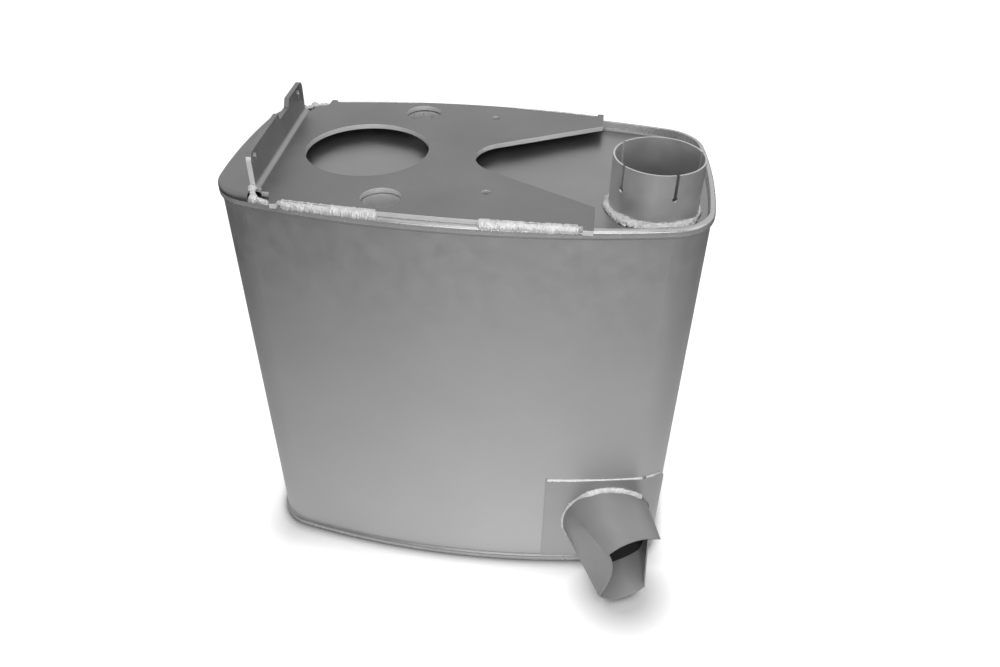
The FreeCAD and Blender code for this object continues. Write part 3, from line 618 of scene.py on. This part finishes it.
def inlet_weld():
    """Fillet weld round the inlet pipe's foot."""
    low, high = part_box("inlet_pipe")
    weld_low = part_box("inlet_weld")[0]
    centre = Vector(((low.x + high.x) / 2, (low.y + high.y) / 2, weld_low.z))
    radius = (high.x - low.x) / 2
    upper, lower = [], []
    for k in range(INLET_WELD_POINTS):
        turn = 2 * math.pi * k / INLET_WELD_POINTS
        spoke = Vector((math.cos(turn), math.sin(turn), 0))
        off_front = abs((math.degrees(turn) - INLET_WELD_HEAVY_AT + 180) % 360 - 180)
        heavy = max(0.0, 1 - (off_front / INLET_WELD_HEAVY_REACH) ** 4)
        thin = INLET_WELD_THIN if math.cos(turn) > 0 else INLET_WELD_SIDE
        size = thin + (INLET_WELD_HEAVY - thin) * heavy + 0.30 * lumps(spoke * radius, 15 * MM)
        upper.append(centre + spoke * (radius - 0.2 * MM) + UP * INLET_WELD_UP * size)
        lower.append(centre + spoke * (radius + INLET_WELD_OUT * size) + UP * 0.1 * MM)
    upper, lower = matched(upper, lower, True)
    weld_band("inlet_weld_bead", "inlet_weld", upper, lower,
              lambda p: (p - centre) * Vector((1, 1, 0)) + UP * 0.05, INLET_WELD_BULGE, "inlet",
              rough=0.7 * MM, closed=True)


def tail_weld():
    """Fillet weld where the tail pipe leaves the patch: heavy on top, thin at the left, none at the right."""
    patch = surface("outlet_patch")
    axis = TAIL_AXIS
    side = axis.cross(UP).normalized()
    over = side.cross(axis)
    upper, lower = [], []
    for k in range(TAIL_WELD_POINTS):
        degrees = TAIL_WELD_FROM + (TAIL_WELD_TO - TAIL_WELD_FROM) * k / (TAIL_WELD_POINTS - 1)
        angle = math.radians(degrees)
        spoke = over * math.cos(angle) + side * math.sin(angle)
        size = 1.0 + 0.12 * lumps(spoke, 0.2)
        if degrees > TAIL_WELD_THIN_FROM:
            fade = min((degrees - TAIL_WELD_THIN_FROM) / TAIL_WELD_THIN_OVER, 1.0)
            size *= 1 - fade * (0.60 - 0.22 * max(0.0, lumps(spoke, 0.055)) - 0.06 * lumps(spoke, 0.3))
        beside_pipe = TAIL_ROOT + spoke * (TAIL_RADIUS + 0.3 * MM)
        joint = patch.ray_cast(beside_pipe + axis * TAIL_RAY_FROM, -axis)[0]
        off_pipe = TAIL_ROOT + spoke * (TAIL_RADIUS + TAIL_WELD_OUT * size)
        outer = patch.ray_cast(off_pipe + axis * TAIL_RAY_FROM, -axis)[0]
        if joint is not None and outer is not None:
            upper.append(joint - spoke * 0.6 * MM + axis * TAIL_WELD_ALONG * size)
            lower.append(outer - axis * 0.1 * MM)
    upper, lower = matched(upper, lower)

    def hint(point):
        spoke = point - TAIL_ROOT
        return (spoke - axis * spoke.dot(axis)).normalized() + axis

    weld_band("tail_pipe_weld_bead", "tail_pipe_weld", upper, lower, hint, TAIL_WELD_BULGE, "tail",
              rough=0.4 * MM)


def outline():
    """Points round the body's outline with the way out at each."""
    long_radius = (HALF_LENGTH ** 2 + LONG_SIDE_BULGE ** 2) / (2 * LONG_SIDE_BULGE)
    end_radius = (HALF_DEPTH ** 2 + END_BULGE ** 2) / (2 * END_BULGE)
    long_centre = Vector((0, HALF_DEPTH - long_radius))
    end_centre = Vector((HALF_LENGTH - end_radius, 0))
    inside = Vector((HALF_LENGTH - CORNER_RADIUS, HALF_DEPTH - CORNER_RADIUS))
    long_inner = (long_centre, long_radius - CORNER_RADIUS)
    end_inner = (end_centre, end_radius - CORNER_RADIUS)
    corner = crossing(long_inner, end_inner, inside)
    to_long, to_end = corner - long_centre, corner - end_centre
    end_turn, long_turn = math.atan2(to_end.y, to_end.x), math.atan2(to_long.y, to_long.x)
    arcs = [
        (end_centre, end_radius, 0.0, end_turn),
        (corner, CORNER_RADIUS, end_turn, long_turn),
        (long_centre, long_radius, long_turn, math.pi / 2),
    ]
    quarter = []
    for centre, radius, start, stop in arcs:
        count = max(4, int(radius * (stop - start) / OUTLINE_STEP))
        for k in range(count):
            turn = start + (stop - start) * k / count
            way = Vector((math.cos(turn), math.sin(turn)))
            quarter.append((centre + way * radius, way))
    quarter.append((Vector((0, HALF_DEPTH)), Vector((0, 1))))
    half = quarter + [(Vector((-p.x, p.y)), Vector((-w.x, w.y))) for p, w in reversed(quarter[:-1])]
    return half + [(Vector((p.x, -p.y)), Vector((w.x, -w.y))) for p, w in reversed(half[1:-1])]


def rim_profile():
    """Inset and depth pairs from the panel's face, over the rim, round the slot, to the panel's back."""
    points = []

    def bend(inset, depth, radius, first, last, count):
        for k in range(count + 1):
            turn = math.radians(first + (last - first) * k / count)
            points.append((inset - radius * math.cos(turn), depth - radius * math.sin(turn)))

    bend(RIM_INNER + PANEL_FILLET, PANEL_DEPTH - PANEL_FILLET, PANEL_FILLET, -90, 0, 8)
    bend(RIM_INNER - RIM_INNER_EDGE, RIM_INNER_EDGE, RIM_INNER_EDGE, 180, 90, 4)
    bend(RIM_EDGE, RIM_EDGE, RIM_EDGE, 90, 0, 14)
    bend(RIM_EDGE, RIM_DEPTH - RIM_EDGE, RIM_EDGE, 0, -70, 10)
    points += [(SLOT_OUT, SLOT_DEPTH), (SLOT_IN, SLOT_DEPTH), (SLOT_IN, PANEL_DEPTH + PANEL_SHEET)]
    return points


def smooth_cap(node, face, way):
    """An end cap with a clean rolled rim; its holes are those of the CAD cap."""
    holes = []
    for hole in ("inlet_pipe", "sleeve_front", "sleeve_rear") if way > 0 else ():
        low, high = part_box(hole)
        holes.append(((low.x + high.x) / 2, (low.y + high.y) / 2, (high.x - low.x) / 2))
    work = bmesh.new()
    line = outline()

    def loop(points):
        return [work.verts.new(p) for p in points]

    def skin(first, second):
        count = len(first)
        for k in range(count):
            work.faces.new((first[k], first[(k + 1) % count], second[(k + 1) % count], second[k]))

    def fill(loops):
        edges = []
        for ring in loops:
            for a, b in zip(ring, ring[1:] + ring[:1]):
                edges.append(work.edges.get((a, b)) or work.edges.new((a, b)))
        bmesh.ops.triangle_fill(work, edges=edges, use_beauty=True)

    rings = []
    for inset, depth in rim_profile():
        spots = [p - w * inset for p, w in line]
        rings.append(loop([Vector((p.x, p.y, face - way * depth)) for p in spots]))
    for first, second in zip(rings, rings[1:]):
        skin(first, second)
    outer, inner = [rings[0]], [rings[-1]]
    for x, y, radius in holes:
        turns = [2 * math.pi * k / HOLE_STEPS for k in range(HOLE_STEPS)]
        flat = [(x + radius * math.cos(turn), y + radius * math.sin(turn)) for turn in turns]
        outer.append(loop([(p[0], p[1], face - way * PANEL_DEPTH) for p in flat]))
        inner.append(loop([(p[0], p[1], face - way * (PANEL_DEPTH + PANEL_SHEET)) for p in flat]))
        skin(outer[-1], inner[-1])
    fill(outer)
    fill(inner)
    bmesh.ops.recalc_face_normals(work, faces=work.faces)
    mesh = bpy.data.meshes.new(node + "_smooth")
    work.to_mesh(mesh)
    work.free()
    mesh.materials.append(PRESSED)
    mesh.shade_smooth()
    mesh.set_sharp_from_angle(angle=CAP_SHARP)
    made = bpy.data.objects.new(node + "_smooth", mesh)
    bpy.context.scene.collection.objects.link(made)
    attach(made, "root")
    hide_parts(node)


def circle_through(a, b, c):
    """Centre and radius of the circle through three flat points."""
    ax, ay, bx, by, cx, cy = a.x, a.y, b.x, b.y, c.x, c.y
    d = 2 * (ax * (by - cy) + bx * (cy - ay) + cx * (ay - by))
    aa, bb, cc = ax * ax + ay * ay, bx * bx + by * by, cx * cx + cy * cy
    x = (aa * (by - cy) + bb * (cy - ay) + cc * (ay - by)) / d
    y = (aa * (cx - bx) + bb * (ax - cx) + cc * (bx - ax)) / d
    centre = Vector((x, y))
    return centre, (a - centre).length


def crossing(first, second, near):
    """Crossing of two circles nearest to a given point."""
    (c1, r1), (c2, r2) = first, second
    span = c2 - c1
    along = (r1 ** 2 - r2 ** 2 + span.length ** 2) / (2 * span.length)
    off = math.sqrt(max(r1 ** 2 - along ** 2, 0))
    unit = span.normalized()
    side = Vector((-unit.y, unit.x))
    both = (c1 + unit * along + side * off, c1 + unit * along - side * off)
    return min(both, key=lambda p: (p - near).length)


def end_section(wall):
    """Points round the pinched end face, moved inwards by wall."""
    corners = [Vector(p) * TAIL_RADIUS for p in TAIL_END_CORNERS]
    middles = [Vector(p) * TAIL_RADIUS for p in TAIL_END_MIDDLES]
    count = len(corners)
    circles = []
    for i in range(count):
        centre, radius = circle_through(corners[i], middles[i], corners[(i + 1) % count])
        circles.append((centre, radius + (wall if TAIL_END_DENTED[i] else -wall)))
    moved = [crossing(circles[i - 1], circles[i], corners[i]) for i in range(count)]
    across = Vector((math.cos(TAIL_END_TURN), math.sin(TAIL_END_TURN), 0))
    middle = TAIL_ROOT + TAIL_AXIS * TAIL_END_AT
    out = []
    for i in range(count):
        centre, radius = circles[i]
        start, stop = moved[i] - centre, moved[(i + 1) % count] - centre
        turn = start.angle_signed(stop)
        first = math.atan2(start.y, start.x)
        for k in range(TAIL_STEPS):
            angle = first - turn * k / TAIL_STEPS
            flat = centre + Vector((math.cos(angle), math.sin(angle))) * radius
            out.append(middle + across * flat.x + UP * flat.y)
    return out


def root_section(wall):
    """Points round the pipe's root, matched with those of the end face."""
    left = TAIL_AXIS.cross(UP).normalized()
    up = left.cross(TAIL_AXIS)
    marks = TAIL_ROOT_CREASES + [TAIL_ROOT_CREASES[0] + 360.0]
    out = []
    for start, stop in zip(marks, marks[1:]):
        for k in range(TAIL_STEPS):
            turn = math.radians(start + (stop - start) * k / TAIL_STEPS)
            out.append(TAIL_ROOT + (up * math.cos(turn) + left * math.sin(turn)) * (TAIL_RADIUS - wall))
    return out


def smooth_tail():
    """The tail pipe with a smooth pass from its round root to the pinch, and painted shade deep inside."""
    vertices, rings = [], []
    for wall in (0.0, TAIL_WALL):
        lines = []
        for root, end in zip(root_section(wall), end_section(wall)):
            way = (end - root).normalized()
            before, after = root - TAIL_AXIS * TAIL_BLEND, root + way * TAIL_BLEND
            line = [root - TAIL_AXIS * TAIL_TUCK]
            for k in range(TAIL_BENDS + 1):
                t = k / TAIL_BENDS
                line.append(before * (1 - t) ** 2 + root * (2 * t * (1 - t)) + after * t ** 2)
            line += [after.lerp(end, k / TAIL_ROWS) for k in range(1, TAIL_ROWS + 1)]
            lines.append(line)
        for row in range(len(lines[0])):
            rings.append(len(vertices))
            vertices += [line[row] for line in lines]
    around = len(TAIL_END_CORNERS) * TAIL_STEPS
    half = len(rings) // 2
    order = rings[:half] + list(reversed(rings[half:]))
    faces, kinds = [], []

    # Materials, in the order that the mesh gets them: 0 outside and on the cut end, 1 inside, 2 near-black
    # painted shade deep inside.
    for place, (a, b) in enumerate(zip(order, order[1:] + order[:1])):
        kind = 0 if place < half else 1 if place < half + TAIL_UNSHADED_ROWS else 2
        for k in range(around):
            k2 = (k + 1) % around
            faces.append((a + k, a + k2, b + k2, b + k))
            kinds.append(kind)
    made = add_mesh("tail_pipe_smooth", vertices, faces, TAIL)
    made.data.materials.append(TAIL_INSIDE_PAINTED_LIGHT)
    made.data.materials.append(PAINTED_DEEP_SHADE)
    for polygon, kind in zip(made.data.polygons, kinds):
        polygon.material_index = kind
    face_outwards(made)
    made.data.set_sharp_from_angle(angle=TAIL_SHARP)
    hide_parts("tail_pipe")


def patch_weld():
    """Thin bright bead along the top of the outlet patch and down its corner, broken where that starts."""
    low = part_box("outlet_patch_weld")[0]
    patch_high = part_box("outlet_patch")[1]
    patch = surface("outlet_patch")
    shell = surface("shell_wrap")
    middle_y = patch_high.y - PATCH_CORNER

    def on(tree, ray, height):
        return tree.ray_cast(PATCH_WELD_MIDDLE + ray * RAY_FROM + UP * height, -ray)[0]

    for label, first, last in PATCH_WELD_STRETCHES:
        upper, lower = [], []
        for k in range(PATCH_WELD_POINTS):
            turn = math.radians(first + (last - first) * k / (PATCH_WELD_POINTS - 1))
            ray = Vector((math.cos(turn), math.sin(turn), 0))
            wall = on(shell, ray, 0.14)
            drop = 0.0
            if wall.y > middle_y:
                drop = PATCH_CORNER - math.sqrt(max(PATCH_CORNER ** 2 - (wall.y - middle_y) ** 2, 0.0))
            edge = on(patch, ray, patch_high.z - drop - 2.5 * MM)
            if edge is None or wall.x < low.x + 0.6 * MM and wall.y < middle_y:
                continue
            height = patch_high.z - drop
            upper.append(Vector((wall.x, wall.y, height + 2.0 * MM)) - ray * 0.2 * MM)
            lower.append(Vector((edge.x, edge.y, height - 0.5 * MM)) + ray * 0.1 * MM)
        upper, lower = matched(upper, lower)
        weld_band("outlet_patch_weld_" + label, "outlet_patch_weld", upper, lower,
                  lambda p: (p - PATCH_WELD_MIDDLE) * Vector((1, 1, 0)), PATCH_WELD_BULGE, "patch" + label,
                  ripple=0.3, rough=0.12 * MM)


def seam_weld():
    """Low bead up the middle of the back."""
    low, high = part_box("wrap_seam_weld")
    ends = (low.z + 0.5 * MM, high.z - 0.5 * MM)
    upper = [Vector((high.x - 0.3 * MM, low.y + 0.3 * MM, z)) for z in ends]
    lower = [Vector((low.x + 0.3 * MM, low.y + 0.3 * MM, z)) for z in ends]
    upper, lower = matched(upper, lower)
    weld_band("wrap_seam_weld_bead", "wrap_seam_weld", upper, lower, lambda p: Vector((0, 1, 0)), 0.9 * MM,
              "seam", rough=0.1 * MM)


def foot_welds():
    """Lumps and a run at each foot of the flange, melted into one piece."""
    feet = (("front", FOOT_FRONT, FOOT_RIM_FRONT), ("rear", FOOT_REAR, FOOT_RIM_REAR))
    for label, foot_at, rim_at in feet:
        node = "flange_weld_" + label
        low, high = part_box(node)
        foot = Vector((*foot_at, high.z - FOOT_BLOB))
        rim = Vector((*rim_at, low.z + FOOT_RIM_RISE))
        end_y = low.y + FOOT_END[1] if label == "front" else high.y - FOOT_END[1]
        end = Vector((high.x - FOOT_END[0], end_y, low.z + FOOT_END[2]))
        balls = [(foot, FOOT_BLOB), (rim, FOOT_RIM_BLOB)]
        for k in range(1, 4):
            balls.append((foot.lerp(rim, k / 4), FOOT_LINK))
        for k in range(1, 12):
            balls.append((rim.lerp(end, k / 11), (3.1 - 0.6 * (k % 2)) * MM))
        melted(node + "_bead", node, balls, node)


def melted(name, replaced, balls, seed):
    """One lumpy solid from a list of balls."""
    chance = random.Random(seed)
    offset = Vector([chance.uniform(0, 50) * MM for _ in range(3)])
    work = bmesh.new()
    for centre, radius in balls:
        bmesh.ops.create_icosphere(work, subdivisions=3, radius=radius, matrix=Matrix.Translation(centre))
    mesh = bpy.data.meshes.new(name)
    work.to_mesh(mesh)
    work.free()
    made = bpy.data.objects.new(name, mesh)
    bpy.context.scene.collection.objects.link(made)
    remesh = made.modifiers.new("melt", "REMESH")
    remesh.mode = "VOXEL"
    remesh.voxel_size = MELT_VOXEL
    smooth = made.modifiers.new("settle", "SMOOTH")
    smooth.iterations = 6
    mesh = baked(made)
    moves = []
    for vertex in mesh.vertices:
        grain = 0.45 * lumps(vertex.co + offset, 3.4 * MM) + 0.25 * lumps(vertex.co - offset, 1.5 * MM)
        moves.append(vertex.co + vertex.normal * grain * 2.2 * MM)
    for vertex, place in zip(mesh.vertices, moves):
        vertex.co = place
    mesh.materials.append(WELD)
    mesh.shade_smooth()
    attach(made, "root")
    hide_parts(replaced)


def baked(made):
    """Apply an object's modifiers to its mesh."""
    graph = bpy.context.evaluated_depsgraph_get()
    mesh = bpy.data.meshes.new_from_object(made.evaluated_get(graph))
    made.modifiers.clear()
    made.data = mesh
    return mesh


def rounded_plate():
    """The mounting plate with its sharp edges eased and its cut faces told from its rolled faces."""
    mesh = NODES["mounting_plate"].data.copy()
    mesh.materials.clear()
    for material in PLATE_PARTS:
        mesh.materials.append(material)
    made = bpy.data.objects.new("mounting_plate_eased", mesh)
    bpy.context.scene.collection.objects.link(made)
    bevel_plate(made)
    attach(made, "root")
    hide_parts("mounting_plate")


def bevel_plate(made):
    """Round the plate's sharp edges a little and give each face the material of its part, with a painted
    highlight on the bend and painted light on the upright.
    """
    work = bmesh.new()
    work.from_mesh(made.data)
    bmesh.ops.remove_doubles(work, verts=work.verts, dist=0.002 * MM)
    bmesh.ops.dissolve_limit(work, angle_limit=math.radians(0.4), verts=work.verts, edges=work.edges)
    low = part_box("mounting_plate")[0]
    sharp = [e for e in work.edges if len(e.link_faces) == 2 and e.calc_face_angle(0) > PLATE_SHARP]
    bmesh.ops.bevel(work, geom=sharp, offset=PLATE_EASE, segments=2, affect="EDGES", profile=0.6)
    level = low.z + PLATE_LEVEL
    for face in work.faces:
        face.smooth = True
        centre = face.calc_center_median()
        faces_in = face.normal.dot(FLANGE_INWARD)
        # The bend strip gets its painted highlight and the upright flange its painted light.
        if level < centre.z < low.z + BEND_TOP and faces_in > 0.1 and face.normal.z > 0.05:
            part = PAINTED_BEND_HIGHLIGHT
        elif abs(face.normal.z) < 0.5 and (abs(faces_in) < 0.5 or centre.z < level):
            part = CUT_EDGE
        elif centre.z > level and abs(faces_in) > 0.5:
            part = PAINTED_LIT_UPRIGHT
        else:
            part = PLATE
        face.material_index = PLATE_PARTS.index(part)
    work.to_mesh(made.data)
    work.free()
    made.data.update()
    weighted = made.modifiers.new("even_normals", "WEIGHTED_NORMAL")
    weighted.keep_sharp = False


def add_camera():
    """The camera that fits the photograph."""
    data = bpy.data.cameras.new("camera")
    data.lens = CAMERA_LENS
    data.sensor_width = CAMERA_SENSOR
    data.clip_end = CAMERA_REACH
    made = bpy.data.objects.new("camera", data)
    turn = Matrix((CAMERA_RIGHT, CAMERA_UP, -CAMERA_FORWARD)).transposed().to_4x4()
    made.matrix_world = Matrix.Translation(CAMERA_AT) @ turn
    bpy.context.scene.collection.objects.link(made)
    bpy.context.scene.camera = made


def add_lamp(name, at, aim, size, power):
    """A rectangular lamp that looks at a point."""
    data = bpy.data.lights.new(name, "AREA")
    data.shape = "RECTANGLE"
    data.size, data.size_y = size
    data.energy = power
    made = bpy.data.objects.new(name, data)
    made.location = at
    made.rotation_euler = (Vector(aim) - Vector(at)).to_track_quat("-Z", "Y").to_euler()
    bpy.context.scene.collection.objects.link(made)


def seen_or_mirrored(t):
    """Two sockets of 0 or 1: what the camera sees directly, and what it sees in metal or through glass."""
    rays = t.node("ShaderNodeLightPath")
    mirrored = t.math("MAXIMUM", rays.outputs["Is Glossy Ray"], rays.outputs["Is Transmission Ray"])
    return rays.outputs["Is Camera Ray"], mirrored


def add_world():
    """Soft grey light, and plain white behind the object."""
    world = bpy.data.worlds.new("studio")
    bpy.context.scene.world = world
    t = Tree(world)
    seen, mirrored = seen_or_mirrored(t)
    heading = t.node("ShaderNodeSeparateXYZ", {0: t.node("ShaderNodeTexCoord").outputs["Generated"]})
    in_metal = t.remap(heading.outputs[1], WORLD_FRONT, WORLD_BACK, WORLD_IN_METAL_FRONT, WORLD_IN_METAL)
    white = t.math("MAXIMUM", seen, t.math("MULTIPLY", mirrored, in_metal))
    soft = t.math("MULTIPLY", t.math("SUBTRACT", 1.0, mirrored), WORLD_LIGHT)
    strength = t.math("MAXIMUM", white, soft)
    background = t.node("ShaderNodeBackground", {"Color": (1, 1, 1, 1), "Strength": strength})
    t.finish(background.outputs[0], "ShaderNodeOutputWorld")


def add_floor():
    """Pale floor that is plain white away from the object and keeps its soft shadow, deepened by painted
    shadow in its glow, with a painted pool of light seen in metal.
    """
    vertices = [(x * FLOOR_SIZE, y * FLOOR_SIZE, 0) for x, y in ((-1, -1), (1, -1), (1, 1), (-1, 1))]
    mesh = bpy.data.meshes.new("floor")
    mesh.from_pydata(vertices, [], [(0, 1, 2, 3)])
    floor = bpy.data.objects.new("floor", mesh)
    floor.location.z = -FLOOR_DROP
    bpy.context.scene.collection.objects.link(floor)
    t = Tree(bpy.data.materials.new("floor_white"))
    seen, mirrored = seen_or_mirrored(t)
    place = t.node("ShaderNodeSeparateXYZ", {0: t.place()})
    x, y = place.outputs[0], place.outputs[1]
    # The camera's glow is lowered near the body and the tail pipe: a painted shadow.
    beside = t.math("MAXIMUM", t.math("SUBTRACT", t.math("ABSOLUTE", x), SHADOW_HALF[0]), 0.0)
    before = t.math("MAXIMUM", t.math("SUBTRACT", t.math("ABSOLUTE", y), SHADOW_HALF[1]), 0.0)
    from_tail = t.math("SUBTRACT", t.distance(x, y, TAIL_SHADOW_AT), TAIL_SHADOW_RADIUS)
    away = t.math("MINIMUM", t.distance(beside, before), from_tail)
    near = t.remap(away, SHADOW_FROM, SHADOW_TO, FLOOR_NEAR, FLOOR_FAR)
    # Glow seen only in metal: a painted pool of light round POOL_AT.
    pool = t.distance(x, y, POOL_AT)
    painted_pool = t.remap(pool, 0.0, POOL_REACH, FLOOR_IN_METAL_NEAR, FLOOR_IN_METAL_FAR)
    # Ambient occlusion darkens the glow and the tone near contact: a painted contact shadow.
    open_sky = t.node("ShaderNodeAmbientOcclusion", {"Distance": CONTACT_REACH})
    open_sky.samples = CONTACT_SAMPLES
    painted_contact_shadow = t.remap(open_sky.outputs["AO"], CONTACT_CLOSED, CONTACT_OPEN, CONTACT_PAINTED_SHADOW_GLOW, 1.0)
    white = (1, 1, 1, 1)
    seen_near = t.math("MULTIPLY", t.math("MULTIPLY", seen, near), painted_contact_shadow)
    glow = t.node("ShaderNodeEmission", {"Color": white, "Strength": seen_near})
    painted_pool_and_contact_shadow = t.math("MULTIPLY", painted_pool, painted_contact_shadow)
    painted_pool_glow = t.node("ShaderNodeEmission", {"Color": white, "Strength": painted_pool_and_contact_shadow})
    tone = t.mix(painted_contact_shadow, grey(CONTACT_PAINTED_SHADOW_TONE), grey(FLOOR_TONE))
    diffuse = t.node("ShaderNodeBsdfDiffuse", {"Color": tone})
    direct = t.node("ShaderNodeAddShader", {0: diffuse.outputs[0], 1: glow.outputs[0]})
    shader = t.node("ShaderNodeMixShader", {0: mirrored, 1: direct.outputs[0], 2: painted_pool_glow.outputs[0]})
    mesh.materials.append(t.finish(shader.outputs[0]))


dress_nodes()
plate_welds()
inlet_weld()
tail_weld()
smooth_tail()
smooth_cap("top_cap", BODY_HEIGHT, 1)
smooth_cap("bottom_cap", 0.0, -1)
patch_weld()
seam_weld()
foot_welds()
rounded_plate()
add_camera()
add_world()
add_floor()
for lamp in LAMPS:
    add_lamp(*lamp)
bpy.context.scene.view_settings.view_transform = "Standard"
